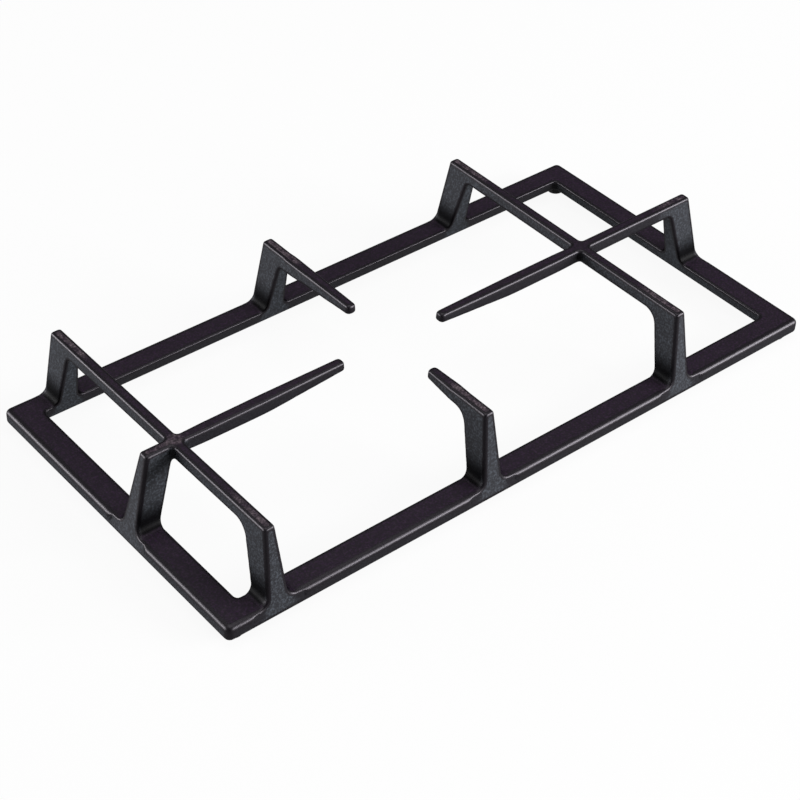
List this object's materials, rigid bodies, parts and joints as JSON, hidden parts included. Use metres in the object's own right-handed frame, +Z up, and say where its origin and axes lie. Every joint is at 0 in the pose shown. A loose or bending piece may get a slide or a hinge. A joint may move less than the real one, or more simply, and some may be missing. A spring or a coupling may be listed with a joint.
{
  "type": "hob pan support",
  "caption": "Rectangular cast grate with legs, cross bars and fingers that hold a pan over one gas burner, on small rubber feet.",
  "frame": {"origin": "under the middle of the frame, in the plane that the feet stand on", "axes": "+X along the frame's long rails, +Y along its short rails, +Z up to the pan"},
  "size_m": [0.48, 0.2434, 0.0673],
  "materials": {
    "enamelled_iron": "black satin enamel",
    "foot_rubber": "matte black"
  },
  "bodies": {
    "root": {"pan_support_casting": "enamelled_iron", "rubber_foot_left_far": "foot_rubber", "rubber_foot_right_far": "foot_rubber", "rubber_foot_right_near": "foot_rubber", "rubber_foot_left_near": "foot_rubber"}
  },
  "joints": []
}
